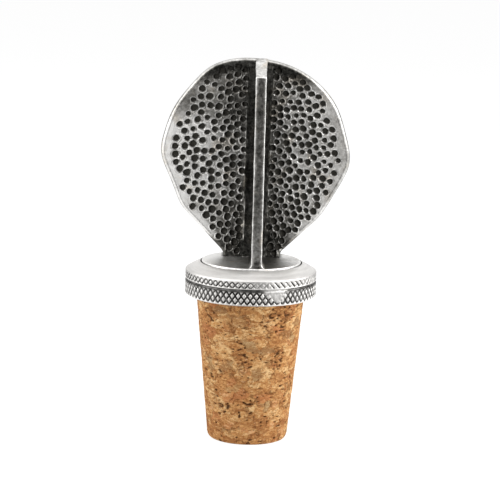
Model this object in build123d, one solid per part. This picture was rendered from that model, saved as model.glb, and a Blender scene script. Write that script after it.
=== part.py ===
from build123d import *
import math
import os

# A decorative bottle stopper: a pewter head on a knurled collar, on a tapered cork.
# Millimetres. +Z is up, the origin is the centre of the cork's foot, and the pitted
# face of the head and its gusset rib look towards -Y.

# ---- cork ----
CORK_FOOT_R = 8.5        # radius of the taper at the foot
CORK_TOP_R = 11.5        # radius where the cork enters the collar
CORK_LENGTH = 31.0       # foot to collar
CORK_FOOT_ROUND = 0.9    # rounding of the foot's edge
CORK_IN_COLLAR = 3.4     # parallel length held in the collar's cup

# ---- collar ----
COLLAR_R = 13.9          # over the knurled bands
COLLAR_LIP_R = 13.4      # plain lip under the lower band
LIP_H = 0.4
LOWER_KNURL_H = 2.7
BEAD_H = 0.6
BEAD_DEPTH = 0.35        # plain bead between the bands, below the knurl's crests
UPPER_KNURL_H = 1.7
SHOULDER_H = 1.65        # bevelled top, from the knurl to the recess
SHOULDER_CROWN = 0.08    # how far the bevel bulges outwards
RECESS_DEPTH = 1.45      # recess for the head's disc
CUP_CLEARANCE = 0.05     # cork in cup, radial

# ---- base disc and spigot of the head ----
DISC_R = 10.5
DISC_GAP = 0.25          # disc in recess, radial
DISC_PROUD = 0.35        # disc stands above the collar's top edge
DISC_EDGE_ROUND = 0.3
SPIGOT_R = 2.5
SPIGOT_LENGTH = 14.0     # below the disc
SPIGOT_CLEARANCE = 0.05  # spigot in the collar's hole and in the cork, radial
SPIGOT_END_GAP = 0.5     # under the spigot's end

# ---- plaque ----
HEAD_R = 20.0            # mean radius of the plaque's outline
HEAD_LIFT = 2.3          # lowest point of that mean circle above the disc
DISH_R = 60.0            # spherical radius of the dished face
DISH_LOW = 8.7           # the dish is deepest this far below the plaque's centre
DISH_FLOOR_Y = 5.4       # where the deepest point lies
PLAQUE_T = 2.8           # thickness of the casting
RIM_ROUND_FRONT = 1.1
RIM_ROUND_BACK = 1.2
NECK_HALF_W = 6.05
NECK_STRAIGHT = 0.8      # upright length of the neck above the disc
NECK_FILLET = 1.5
NECK_BACK_Y = 8.4        # the neck is thickened at the back to here
NECK_BACK_H = 13.0       # height of that thickening

# Hand-cast outline: (angle in degrees, departure from HEAD_R), anticlockwise from +X.
# It runs from the right flank over the top to the left flank.
OUTLINE = [
    (-48, -0.30), (-27, -0.80), (-15, -0.30), (-4, 0.30), (12, -0.15), (32, 0.15),
    (61, 0.35), (90, 0.50), (118, 0.80), (131, 0.00), (154, -0.45), (166, -0.50),
    (179, -0.30), (198, -1.40), (214, -1.00), (229, -0.70),
]

# ---- gusset rib ----
RIB_X = 1.1              # the rib stands a little off the plaque's centre
RIB_T = 2.2
RIB_INSET = 0.3          # front of the rib behind the disc's front edge
RIB_TOP_DROP = 2.5       # front top corner of the rib below the top of the plaque
RIB_REAR_DROP = 0.25     # rear end of its sloping top below the top of the plaque
ROOT_BAR_W = 6.0         # smooth bar along the rib's root
ROOT_BAR_H = 0.6         # how far that bar stands off the dished face
RIB_FLARE = 0.9          # radius of the flare of the rib's foot into the disc

# ---- heights and places that follow ----
collar_bottom = CORK_LENGTH
lower_knurl_bottom = collar_bottom + LIP_H
bead_bottom = lower_knurl_bottom + LOWER_KNURL_H
upper_knurl_bottom = bead_bottom + BEAD_H
shoulder_bottom = upper_knurl_bottom + UPPER_KNURL_H
collar_top = shoulder_bottom + SHOULDER_H
recess_floor = collar_top - RECESS_DEPTH
recess_r = DISC_R + DISC_GAP
cork_top = collar_bottom + CORK_IN_COLLAR
cup_r = CORK_TOP_R + CUP_CLEARANCE
hole_r = SPIGOT_R + SPIGOT_CLEARANCE
disc_top = collar_top + DISC_PROUD
spigot_end = recess_floor - SPIGOT_LENGTH
head_centre_z = disc_top + HEAD_LIFT + HEAD_R
dish_z = head_centre_z - DISH_LOW
dish_centre = (0, DISH_FLOOR_Y - DISH_R, dish_z)


def outline_point(angle, departure):
    """A point (x, z) of the plaque's outline."""
    r = HEAD_R + departure
    a = math.radians(angle)
    return (r * math.cos(a), head_centre_z + r * math.sin(a))


def ball(radius):
    """A sphere about the dish's centre, for cutting the plaque's two faces."""
    return Pos(*dish_centre) * Sphere(radius)


def plaque_prism():
    """The plaque's outline with its neck, as a prism along Y."""
    curve_points = [outline_point(angle, departure) for angle, departure in OUTLINE]
    right, left = curve_points[0], curve_points[-1]
    shoulder_z = disc_top + NECK_STRAIGHT
    root_z = disc_top - DISC_EDGE_ROUND
    right_shoulder = (NECK_HALF_W, shoulder_z)
    left_shoulder = (-NECK_HALF_W, shoulder_z)
    start_tangent = (right[0] - right_shoulder[0], right[1] - right_shoulder[1])
    end_tangent = (left_shoulder[0] - left[0], left_shoulder[1] - left[1])
    rim = Spline(*curve_points, tangents=(start_tangent, end_tangent))
    flanks = Polyline(
        left, left_shoulder, (-NECK_HALF_W, root_z), (NECK_HALF_W, root_z), right_shoulder, right
    )
    outline = make_face(rim + flanks)
    shoulders = outline.vertices().filter_by(
        lambda v: abs(v.Y - shoulder_z) < 0.01 and abs(abs(v.X) - NECK_HALF_W) < 0.01
    )
    outline = fillet(shoulders, NECK_FILLET)
    depth = HEAD_R + DISC_R
    return extrude(Plane.XZ.offset(-depth) * outline, amount=2 * depth)


def rim_edges(face):
    """The edges of one dished face, apart from the one down in the disc."""
    return [edge for edge in face.edges() if edge.center().Z > disc_top]


def plaque(prism):
    """The dished plaque and neck with rounded edges."""
    shell = (prism & ball(DISH_R + PLAQUE_T)) - ball(DISH_R)
    back_face = shell.faces().filter_by(GeomType.SPHERE).sort_by(Axis.Y)[-1]
    shell = fillet(rim_edges(back_face), RIM_ROUND_BACK)
    front_face = shell.faces().filter_by(GeomType.SPHERE).sort_by(Axis.Y)[0]
    return fillet(rim_edges(front_face), RIM_ROUND_FRONT)


def side_plate(points, centre_x, thickness):
    """A flat plate across X from its (y, z) outline."""
    profile = make_face(Polyline(*points, close=True))
    return Pos(centre_x - thickness / 2, 0, 0) * extrude(Plane.YZ * profile, amount=thickness)


def gusset_rib(prism):
    """The upright rib in front of the plaque, and the smooth bar along its root."""
    plaque_top = head_centre_z + HEAD_R
    front_y = -(DISC_R - RIB_INSET)
    rear_y = DISH_FLOOR_Y + PLAQUE_T
    top_rise = RIB_TOP_DROP - RIB_REAR_DROP
    rim_y = DISH_FLOOR_Y - DISH_R + math.sqrt(DISH_R**2 - (plaque_top - dish_z) ** 2)
    slope = top_rise / (rim_y - front_y)
    rear_z = plaque_top - RIB_REAR_DROP + slope * (rear_y - rim_y)
    inside = ball(DISH_R + PLAQUE_T / 2)
    blade = side_plate(
        [
            (front_y, disc_top - DISC_EDGE_ROUND),
            (front_y, plaque_top - RIB_TOP_DROP),
            (rear_y, rear_z),
            (rear_y, disc_top - DISC_EDGE_ROUND),
        ],
        RIB_X,
        RIB_T,
    )
    bar = side_plate(
        [
            (front_y, disc_top - DISC_EDGE_ROUND),
            (front_y, plaque_top - RIB_TOP_DROP),
            (rear_y, plaque_top - RIB_TOP_DROP),
            (rear_y, disc_top - DISC_EDGE_ROUND),
        ],
        RIB_X,
        ROOT_BAR_W,
    )
    return (blade & inside) + (bar & prism & inside - ball(DISH_R - ROOT_BAR_H))


def neck_back():
    """The thickening down the back of the neck."""
    foot_z = disc_top - DISC_EDGE_ROUND
    return side_plate(
        [
            (DISH_FLOOR_Y, foot_z),
            (NECK_BACK_Y, foot_z),
            (NECK_BACK_Y, disc_top + NECK_BACK_H / 2),
            (DISH_FLOOR_Y, disc_top + NECK_BACK_H),
        ],
        0,
        2 * NECK_HALF_W,
    )


def disc_and_spigot():
    """The round base disc and the spigot under it."""
    disc = Pos(0, 0, recess_floor) * Cylinder(
        DISC_R, disc_top - recess_floor, align=(Align.CENTER, Align.CENTER, Align.MIN)
    )
    disc = fillet(disc.edges().sort_by(Axis.Z)[-1], DISC_EDGE_ROUND)
    spigot = Pos(0, 0, spigot_end) * Cylinder(
        SPIGOT_R, SPIGOT_LENGTH, align=(Align.CENTER, Align.CENTER, Align.MIN)
    )
    return disc + spigot


def rib_flare():
    """The concave flare where the rib's sides run out into the disc."""
    foot_z = disc_top - DISC_EDGE_ROUND
    near, far = RIB_T / 2, RIB_T / 2 + RIB_FLARE
    sag = RIB_FLARE * (1 - math.sqrt(0.5))
    right_curve = ThreePointArc(
        (far, disc_top), (near + sag, disc_top + sag), (near, disc_top + RIB_FLARE)
    )
    left_curve = ThreePointArc(
        (-near, disc_top + RIB_FLARE), (-near - sag, disc_top + sag), (-far, disc_top)
    )
    top = Line((near, disc_top + RIB_FLARE), (-near, disc_top + RIB_FLARE))
    foot = Polyline((-far, disc_top), (-far, foot_z), (far, foot_z), (far, disc_top))
    section = Plane.XZ.offset(-DISH_FLOOR_Y) * make_face(right_curve + top + left_curve + foot)
    flare = extrude(section, amount=DISH_FLOOR_Y + DISC_R - RIB_INSET)
    return (Pos(RIB_X, 0, 0) * flare) & (Pos(0, 0, disc_top) * Cylinder(DISC_R, 2 * DISC_R))


def head():
    """The pewter head as one casting."""
    prism = plaque_prism()
    return plaque(prism) + gusset_rib(prism) + rib_flare() + neck_back() + disc_and_spigot()


def collar():
    """The turned collar: bands, bevelled top, recess, hole and cup."""
    bead_r = COLLAR_R - BEAD_DEPTH
    crown = ThreePointArc(
        (COLLAR_R, shoulder_bottom),
        (
            (COLLAR_R + recess_r) / 2 + SHOULDER_CROWN,
            (shoulder_bottom + collar_top) / 2 + SHOULDER_CROWN,
        ),
        (recess_r, collar_top),
    )
    wall = Polyline(
        (recess_r, collar_top),
        (recess_r, recess_floor),
        (hole_r, recess_floor),
        (hole_r, cork_top),
        (cup_r, cork_top),
        (cup_r, collar_bottom),
        (COLLAR_LIP_R, collar_bottom),
        (COLLAR_LIP_R, lower_knurl_bottom),
        (COLLAR_R, lower_knurl_bottom),
        (COLLAR_R, bead_bottom),
        (bead_r, bead_bottom),
        (bead_r, upper_knurl_bottom),
        (COLLAR_R, upper_knurl_bottom),
        (COLLAR_R, shoulder_bottom),
    )
    return revolve(Plane.XZ * make_face(crown + wall), Axis.Z)


def cork():
    """The tapered plug with its parallel top and blind hole."""
    plug = revolve(
        Plane.XZ
        * make_face(
            Polyline(
                (0, 0),
                (CORK_FOOT_R, 0),
                (CORK_TOP_R, collar_bottom),
                (CORK_TOP_R, cork_top),
                (0, cork_top),
                close=True,
            )
        ),
        Axis.Z,
    )
    plug = fillet(plug.edges().sort_by(Axis.Z)[0], CORK_FOOT_ROUND)
    bore_bottom = spigot_end - SPIGOT_END_GAP
    bore = Pos(0, 0, bore_bottom) * Cylinder(
        SPIGOT_R + SPIGOT_CLEARANCE,
        cork_top - bore_bottom,
        align=(Align.CENTER, Align.CENTER, Align.MIN),
    )
    return plug - bore


os.makedirs("parts", exist_ok=True)
for name, make in (("head", head), ("collar", collar), ("cork", cork)):
    export_step(make(), f"parts/{name}.step")
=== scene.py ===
"""Decorative bottle stopper: a pitted pewter head on a knurled collar and an agglomerated cork.

Every shape is worked out in millimetres and becomes metres when its mesh is made.
"""

import math

import bmesh
import bpy
import numpy as np
from mathutils import Matrix, Vector, noise
from mathutils.bvhtree import BVHTree


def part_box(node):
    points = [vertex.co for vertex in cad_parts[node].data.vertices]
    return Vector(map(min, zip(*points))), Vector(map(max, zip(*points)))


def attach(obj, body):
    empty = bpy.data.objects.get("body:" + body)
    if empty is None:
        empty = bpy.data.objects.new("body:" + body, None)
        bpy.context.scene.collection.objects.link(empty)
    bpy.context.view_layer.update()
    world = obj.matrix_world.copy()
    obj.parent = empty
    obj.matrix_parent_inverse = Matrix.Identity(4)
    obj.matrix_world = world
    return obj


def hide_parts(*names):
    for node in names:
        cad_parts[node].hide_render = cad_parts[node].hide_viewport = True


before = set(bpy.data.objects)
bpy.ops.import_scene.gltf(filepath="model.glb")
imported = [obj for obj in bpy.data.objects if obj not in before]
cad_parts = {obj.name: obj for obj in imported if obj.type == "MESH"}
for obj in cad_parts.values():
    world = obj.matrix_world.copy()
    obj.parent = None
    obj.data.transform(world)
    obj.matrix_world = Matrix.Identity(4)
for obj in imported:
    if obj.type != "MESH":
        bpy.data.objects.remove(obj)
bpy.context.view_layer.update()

MM = 0.001
WELD = 0.001  # points this near are one point
FULL_TURN = 2 * math.pi
QUARTER_TURN = math.pi / 2


def node_box(name):
    """Lowest and highest corner of a CAD node, in millimetres."""
    low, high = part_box(name)
    return np.array(low) / MM, np.array(high) / MM


HEAD_LOW, HEAD_HIGH = node_box("head")
COLLAR_LOW, COLLAR_HIGH = node_box("collar")
CORK_LOW, CORK_HIGH = node_box("cork")

# ---- the head, as the CAD has it ----
DISC_R = 10.5
DISC_PROUD = 0.35
DISC_EDGE = 0.3
DISC_TOP = COLLAR_HIGH[2] + DISC_PROUD
DISC_FLOOR = COLLAR_HIGH[2] - 1.45
SPIGOT_R = 2.5
PLAQUE_TOP_R = 20.5  # radius of the outline straight up
PLAQUE_Z = HEAD_HIGH[2] - PLAQUE_TOP_R
DISH_R = 60.0
DISH_FLOOR_Y = 5.4
DISH_Z = PLAQUE_Z - 8.7
DISH_CENTRE = np.array([0.0, DISH_FLOOR_Y - DISH_R, DISH_Z])
PLAQUE_T = 2.8
NECK_HALF_W = 6.05
NECK_BACK_Y = 8.4
NECK_BACK_H = 13.0
RIB_X = 1.1
RIB_T = 2.2
RIB_FRONT_Y = -10.2
RIB_TOP_Z = PLAQUE_Z + 17.5
RIB_REAR_Z = PLAQUE_Z + 20.15
RIB_FLARE = 0.9
ROOT_BAR_H = 0.6

# ---- the collar and the cork, as the CAD has them ----
COLLAR_R = COLLAR_HIGH[1]
COLLAR_LIP_R = 13.4
LIP_H = 0.4
LOWER_KNURL_H = 2.7
BEAD_H = 0.6
BEAD_DEPTH = 0.35
BEAD_R = COLLAR_R - BEAD_DEPTH
UPPER_KNURL_H = 1.7
RECESS_R = 10.75
HOLE_R = 2.55
CUP_R = 11.55
CORK_FOOT_R = 8.5
CORK_TOP_R = CORK_HIGH[0]
CORK_ROUND = 0.9


# ---- mesh helpers ----


def mesh_piece(name, points, faces):
    """A mesh object from points in millimetres."""
    mesh = bpy.data.meshes.new(name)
    mesh.from_pydata((np.asarray(points) * MM).tolist(), [], faces)
    mesh.validate()
    bm = bmesh.new()
    bm.from_mesh(mesh)
    bmesh.ops.recalc_face_normals(bm, faces=bm.faces)
    bm.to_mesh(mesh)
    bm.free()
    piece = bpy.data.objects.new(name, mesh)
    bpy.context.scene.collection.objects.link(piece)
    return piece


def points_of(piece):
    """The piece's vertices as an array, in millimetres."""
    flat = np.zeros(len(piece.data.vertices) * 3)
    piece.data.vertices.foreach_get("co", flat)
    return flat.reshape(-1, 3) / MM


def set_values(piece, name, values):
    """Stores one number per vertex under a name that a material can read."""
    attribute = piece.data.attributes.new(name, "FLOAT", "POINT")
    attribute.data.foreach_set("value", np.asarray(values, np.float32))


def shade(piece, degrees):
    """Smooth shading, kept sharp where faces meet at more than this angle."""
    piece.data.shade_smooth()
    piece.data.set_sharp_from_angle(angle=math.radians(degrees))


def union(base, extras):
    """Joins closed pieces into base as one closed skin, and removes the extras."""
    for extra in extras:
        modifier = base.modifiers.new("join", "BOOLEAN")
        modifier.operation = "UNION"
        modifier.solver = "MANIFOLD"
        modifier.object = extra
    graph = bpy.context.evaluated_depsgraph_get()
    joined = bpy.data.meshes.new_from_object(base.evaluated_get(graph))
    base.modifiers.clear()
    base.data = joined
    joined.name = base.name
    for extra in extras:
        bpy.data.objects.remove(extra)
    return base


def weld(piece):
    """Removes the slivers that a join leaves where two skins nearly meet."""
    bm = bmesh.new()
    bm.from_mesh(piece.data)
    bmesh.ops.triangulate(bm, faces=[f for f in bm.faces if len(f.verts) > 4])
    bmesh.ops.remove_doubles(bm, verts=bm.verts, dist=WELD * MM)
    bmesh.ops.dissolve_degenerate(bm, dist=WELD * MM, edges=bm.edges)
    bm.to_mesh(piece.data)
    bm.free()


def smoothstep(low, high, value):
    """0 below low, 1 above high, and a smooth ramp between."""
    t = np.clip((value - low) / (high - low), 0, 1)
    return t * t * (3 - 2 * t)


def noise_at(points, size, seed=0):
    """Smooth noise from -1 to 1 at each point, with features about size millimetres across."""
    shift = Vector((seed * 17.3, seed * 5.1, seed * 9.7))
    return np.array([noise.noise(Vector(p) / size + shift) for p in points])


def tube_faces(rows, columns):
    """Quads round a tube whose points are in rows of so many columns."""
    faces = []
    for i in range(rows - 1):
        for k in range(columns):
            low, high, m = i * columns, (i + 1) * columns, (k + 1) % columns
            faces.append((low + k, low + m, high + m, high + k))
    return faces


def lathe(name, profile, columns, radius_change):
    """A closed ring turned from a closed (r, z) profile. radius_change(angle, r, z) adds to r."""
    angles = np.arange(columns) * FULL_TURN / columns
    r, z = (np.repeat(line[:, None], columns, 1) for line in np.array(profile).T)
    r = r + radius_change(angles[None, :], r, z)
    points = np.stack([r * np.sin(angles), -r * np.cos(angles), z], -1).reshape(-1, 3)
    last = (len(profile) - 1) * columns
    faces = tube_faces(len(profile), columns)
    faces += [(last + k, last + (k + 1) % columns, (k + 1) % columns, k) for k in range(columns)]
    return mesh_piece(name, points, faces)


def turned_solid(name, profile, columns):
    """A closed solid turned from an open (r, z) profile, with a flat face at each end."""
    angles = np.arange(columns) * FULL_TURN / columns
    points = []
    for r, z in profile:
        points += [(r * math.sin(a), -r * math.cos(a), z) for a in angles]
    last = len(points) - columns
    faces = tube_faces(len(profile), columns)
    faces += [tuple(range(columns)), tuple(range(last, last + columns))]
    return mesh_piece(name, points, faces)


# ---- the pitted plaque ----

PIT_R = 0.72
PIT_DEPTH = 0.5
PIT_GAP = 1.30
PIT_LIP = 0.11  # how far a pit's lip stands up
PIT_SEED = 41
PIT_THROWS = 16000
PIT_PUSHES = 14
GRID = 264  # squares along each side of the face's grid
OUTLINE_STEPS = 1440
OUTLINE_HALVINGS = 13
OUTLINE_NEAR = 5.0
OUTLINE_FAR = 30.0
RIM_STEPS = 2400
RIM_SMOOTHING = 9
RIM_W = 0.8
RIM_FOOT_W = 0.35
RIM_RINGS = 10
RIM_FULLNESS = 0.7
RIM_SQUARENESS = 0.8
BACK_STEP = 4  # rim points for each point of the back
BACK_RINGS = 18
PLAQUE_FOOT_Z = DISC_FLOOR + 0.4
BAR_LEFT_X = RIB_X - RIB_T / 2 - 1.75
BAR_RIGHT_X = RIB_X + RIB_T / 2 + 1.1
BAR_LEAN = 0.014


def outline_table():
    """The plaque's outline from the CAD head: radius about its centre at even angles."""
    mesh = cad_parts["head"].data
    corners = [v.co / MM for v in mesh.vertices]
    tree = BVHTree.FromPolygons(corners, [tuple(p.vertices) for p in mesh.polygons])

    def inside(x, z):
        if z < DISC_TOP + 0.15:
            return abs(x) < NECK_HALF_W and z > PLAQUE_FOOT_Z
        return tree.ray_cast(Vector((x, 2 * HEAD_LOW[1], z)), Vector((0, 1, 0)))[0] is not None

    angles = np.linspace(-math.pi, math.pi, OUTLINE_STEPS + 1)
    radii = []
    for angle in angles:
        near, far = OUTLINE_NEAR, OUTLINE_FAR
        for _ in range(OUTLINE_HALVINGS):
            middle = (near + far) / 2
            if inside(middle * math.cos(angle), PLAQUE_Z + middle * math.sin(angle)):
                near = middle
            else:
                far = middle
        radii.append(near)
    return angles, np.array(radii)


OUTLINE_ANGLES, OUTLINE_RADII = outline_table()


def outline_radius(angle):
    """Radius of the plaque's outline at these angles."""
    return np.interp(angle, OUTLINE_ANGLES, OUTLINE_RADII)


def rolling_mean(values, reach):
    """Smooths a closed run of values over reach neighbours on each side."""
    kernel = np.hanning(2 * reach + 3)[1:-1]
    padded = np.concatenate([values[-reach:], values, values[:reach]])
    return np.convolve(padded, kernel / kernel.sum(), "valid")


def rim_lines():
    """Inner line of the rim by its angle, with the outline point that faces each point of it."""
    x = OUTLINE_RADII * np.cos(OUTLINE_ANGLES)
    z = PLAQUE_Z + OUTLINE_RADII * np.sin(OUTLINE_ANGLES)
    along = np.concatenate([[0], np.cumsum(np.hypot(np.diff(x), np.diff(z)))])
    even = np.linspace(0, along[-1], RIM_STEPS + 1)[:-1]
    x = rolling_mean(np.interp(even, along, x), RIM_SMOOTHING)
    z = rolling_mean(np.interp(even, along, z), RIM_SMOOTHING)
    along_x = rolling_mean(np.roll(x, -1) - np.roll(x, 1), RIM_SMOOTHING)
    along_z = rolling_mean(np.roll(z, -1) - np.roll(z, 1), RIM_SMOOTHING)
    size = np.hypot(along_x, along_z)
    width = RIM_FOOT_W + (RIM_W - RIM_FOOT_W) * smoothstep(DISC_TOP - 0.1, DISC_TOP + 1.2, z)
    inner_x, inner_z = x - width * along_z / size, z + width * along_x / size
    angle = np.unwrap(np.arctan2(inner_z - PLAQUE_Z, inner_x))
    angle = np.maximum.accumulate(angle) + 1e-9 * np.arange(len(angle))
    table = np.stack([inner_x, inner_z, x, z], -1)
    angle = np.concatenate([angle - FULL_TURN, angle, angle + FULL_TURN])
    return angle, np.concatenate([table, table, table])


def rim_at(angle):
    """(inner x, inner z, outer x, outer z) of the rim at these angles."""
    known, table = RIM_LINES
    return np.stack([np.interp(angle, known, table[:, i]) for i in range(4)], -1)


def y_of_face(x, z):
    """Y of the plain dished face over (x, z)."""
    dx, dz = x - DISH_CENTRE[0], z - DISH_CENTRE[2]
    return np.sqrt(np.maximum(DISH_R**2 - dx**2 - dz**2, 0)) + DISH_CENTRE[1]


def dish_point(x, z, into=0.0):
    """The point of the dished face over (x, z), moved into the metal by a depth."""
    point = np.stack([x, y_of_face(x, z), z], -1)
    return point + (point - DISH_CENTRE) / DISH_R * np.asarray(into)[..., None]


def edge_distance(x, z):
    """How far inside the plaque's outline each place is, towards its middle."""
    return outline_radius(np.arctan2(z - PLAQUE_Z, x)) - np.hypot(x, z - PLAQUE_Z)


def smooth_margin(angle):
    """Width of the plain band inside the rim: wide at the sides, narrow at the top and foot."""
    sides = 1.10 - 0.65 * smoothstep(-0.05, -0.50, np.sin(angle))
    return 0.9 + sides * np.abs(np.cos(angle)) ** 3 + 0.5 * np.exp(-(((angle - 2.35) / 0.35) ** 2))


def pit_gap(x, z):
    """Least distance between pits: wider on the left wing and near the top left."""
    left = smoothstep(-1.0, -10.0, x)
    top_left = smoothstep(PLAQUE_Z + 8, PLAQUE_Z + 15, z) * smoothstep(2.0, -4.0, x)
    return PIT_GAP * (1 + 0.10 * left + 0.08 * top_left)


def pit_fits(x, z, radius):
    """True where a pit keeps clear of the rim's margin and the smooth bar."""
    angle = math.atan2(z - PLAQUE_Z, x)
    if math.hypot(x, z - PLAQUE_Z) > outline_radius(angle) - smooth_margin(angle) - radius:
        return False
    lean = BAR_LEAN * (z - PLAQUE_Z)
    return x + radius * 0.8 < BAR_LEFT_X + lean or x - radius * 0.8 > BAR_RIGHT_X + lean


def thrown_pits():
    """Centres and radii of the pits by seeded dart throwing, with no two too close."""
    rng = np.random.default_rng(PIT_SEED)
    places = []
    for _ in range(PIT_THROWS):
        x = rng.uniform(-21, 21)
        z = rng.uniform(DISC_TOP + 1, PLAQUE_Z + 21)
        radius = PIT_R * rng.uniform(0.80, 1.12) * (1.04 if x < -7 else 0.97)
        if not pit_fits(x, z, radius):
            continue
        gap = pit_gap(x, z)
        if all((x - px) ** 2 + (z - pz) ** 2 > gap**2 for px, pz, _ in places):
            places.append((x, z, radius))
    return np.array(places)


def pit_places():
    """The pits, after they have gently pushed each other to more even gaps."""
    places = thrown_pits()
    for _ in range(PIT_PUSHES):
        dx = places[:, 0][:, None] - places[:, 0]
        dz = places[:, 1][:, None] - places[:, 1]
        far = np.hypot(dx, dz) + 1e9 * np.eye(len(places))
        want = pit_gap(places[:, 0], places[:, 1]) * 1.22
        push = np.clip(want[:, None] - far, 0, None) * 0.22 / far
        moved = places.copy()
        moved[:, 0] += (push * dx).sum(1)
        moved[:, 1] += (push * dz).sum(1)
        fits = np.array([pit_fits(*place) for place in moved])
        places[fits] = moved[fits]
    return places


def pit_field(x, z):
    """How deep in a pit each place is, and how much it is on a pit's lip, both from 0 to 1."""
    flat = np.stack([x.ravel(), np.zeros(x.size), z.ravel()], -1)
    warp_x = x + 0.13 * noise_at(flat, 0.9, 3).reshape(x.shape)
    warp_z = z + 0.13 * noise_at(flat, 0.9, 4).reshape(x.shape)
    bowls = np.zeros(x.shape)
    lips = np.zeros(x.shape)
    for px, pz, radius in PITS:
        near = (np.abs(warp_x - px) < 2 * radius) * (np.abs(warp_z - pz) < 2 * radius)
        d = np.hypot(warp_x[near] - px, warp_z[near] - pz) / radius
        bowls[near] = np.maximum(bowls[near], np.clip(1 - d**3.2, 0, 1) ** 0.6)
        lips[near] = np.maximum(lips[near], np.exp(-(((d - 1.13) / 0.15) ** 2)))
    return bowls, lips * (1 - np.clip(bowls * 6, 0, 1))


def bar_share(x, z):
    """1 on the smooth bar along the rib's root, 0 off it."""
    x = x - BAR_LEAN * (z - PLAQUE_Z)
    left = smoothstep(BAR_LEFT_X - 0.18, BAR_LEFT_X + 0.16, x)
    return left * (1 - smoothstep(BAR_RIGHT_X - 0.16, BAR_RIGHT_X + 0.18, x))


def face_depth(x, z):
    """Depth of the finished face behind the plain dish."""
    flat = np.stack([x.ravel(), np.zeros(x.size), z.ravel()], -1)
    swell = 0.07 * noise_at(flat, 5.0, 1) + 0.03 * noise_at(flat, 1.3, 2)
    bowls, lips = pit_field(x, z)
    bar = bar_share(x, z)
    depth = swell.reshape(x.shape) + PIT_DEPTH * bowls - PIT_LIP * lips
    depth = depth * (1 - bar) - (ROOT_BAR_H + swell.reshape(x.shape) * 0.7) * bar
    fade = smoothstep(RIM_W + 0.05, RIM_W + 0.8, edge_distance(x, z))
    return depth * np.where(z > PLAQUE_Z, fade, 1.0)


RIM_LINES = rim_lines()
PITS = pit_places()


def face_grid():
    """A square grid bent to a round one: each point's angle and share of the way to the rim."""
    line = np.linspace(-1, 1, GRID + 1)
    s, t = np.meshgrid(line, line, indexing="ij")
    u, v = s * np.sqrt(1 - t**2 / 2), t * np.sqrt(1 - s**2 / 2)
    return np.arctan2(v, u), np.hypot(u, v)


def grid_faces():
    """The grid's quads, and its border points in their order round the rim."""
    side = GRID + 1
    faces = [
        (i * side + j, (i + 1) * side + j, (i + 1) * side + j + 1, i * side + j + 1)
        for i in range(GRID)
        for j in range(GRID)
    ]
    border = [i * side for i in range(GRID)]
    border += [GRID * side + j for j in range(GRID)]
    border += [i * side + GRID for i in range(GRID, 0, -1)]
    border += list(range(GRID, 0, -1))
    return faces, border


def ring_faces(last, new):
    """Faces between a ring and the next one in, which may have fewer points."""
    step = len(last) // len(new)
    faces = []
    for k in range(len(new)):
        outer = [last[(k * step + i) % len(last)] for i in range(step + 1)]
        faces.append((*outer, new[(k + 1) % len(new)], new[k]))
    return faces


def rim_ring(rim, front_y, back_y, ring):
    """One ring of the rounded rim on its way from the face to the back."""
    turn = math.pi * ring / RIM_RINGS
    out = math.sin(turn) ** RIM_FULLNESS
    across = (1 - math.copysign(abs(math.cos(turn)) ** RIM_SQUARENESS, math.cos(turn))) / 2
    x = rim[:, 0] + (rim[:, 2] - rim[:, 0]) * out
    z = rim[:, 1] + (rim[:, 3] - rim[:, 1]) * out
    return np.stack([x, front_y + (back_y - front_y) * across, z], -1)


def plaque_mesh():
    """The plaque with its pitted front, rounded rim and plain domed back, as one closed skin."""
    angle, share = face_grid()
    rim = rim_at(angle)
    x = rim[..., 0] * share
    z = PLAQUE_Z + (rim[..., 1] - PLAQUE_Z) * share
    front = dish_point(x, z, face_depth(x, z)).reshape(-1, 3)
    faces, last = grid_faces()
    rim = rim.reshape(-1, 4)[last]
    front_y = front[last][:, 1]
    back_y = back_point(rim[:, 0], rim[:, 1])[:, 1]
    blocks = [front]
    total = len(front)
    for ring in range(1, RIM_RINGS + 1):
        blocks.append(rim_ring(rim, front_y, back_y, ring))
        new = list(range(total, total + len(rim)))
        faces += ring_faces(last, new)
        last, total = new, total + len(rim)
    rim = rim[::BACK_STEP]
    for ring in range(1, BACK_RINGS):
        inward = 1 - ring / BACK_RINGS
        blocks.append(back_point(rim[:, 0] * inward, PLAQUE_Z + (rim[:, 1] - PLAQUE_Z) * inward))
        new = list(range(total, total + len(rim)))
        faces += ring_faces(last, new)
        last, total = new, total + len(rim)
    blocks.append(back_point(np.zeros(1), np.full(1, PLAQUE_Z)))
    faces += [(last[k], last[(k + 1) % len(last)], total) for k in range(len(last))]
    return mesh_piece("pewter_head", np.concatenate(blocks), faces)


def back_point(x, z):
    """The plain back of the plaque over (x, z), a dome about the dish's centre."""
    radius = DISH_R + PLAQUE_T
    y = np.sqrt(radius**2 - x**2 - (z - DISH_Z) ** 2) + DISH_CENTRE[1]
    return np.stack([x, y, z], -1)


# ---- the rest of the head ----

RIB_ROWS = 150
RIB_FOOT_ROWS = 14
RIB_EDGE = 0.24  # rounding of the front edges
RIB_SIDE_POINTS = 9
RIB_TOP_ROUND = 0.22
RIB_REAR_DEPTH = 0.35  # into the plaque, as a share of its thickness
RIB_UNEVENNESS = 0.09
ROUND_STEPS = 4  # straight steps in each rounded edge
RIB_REACH = DISC_R - 0.04
NECK_ROUNDNESS = 0.45
NECK_COLUMNS = 22
NECK_ROWS = 16
DISC_COLUMNS = 240


def rounding():
    """Angles of the points along a rounded edge, from 0 to a quarter turn."""
    return [QUARTER_TURN * i / ROUND_STEPS for i in range(ROUND_STEPS + 1)]


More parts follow.
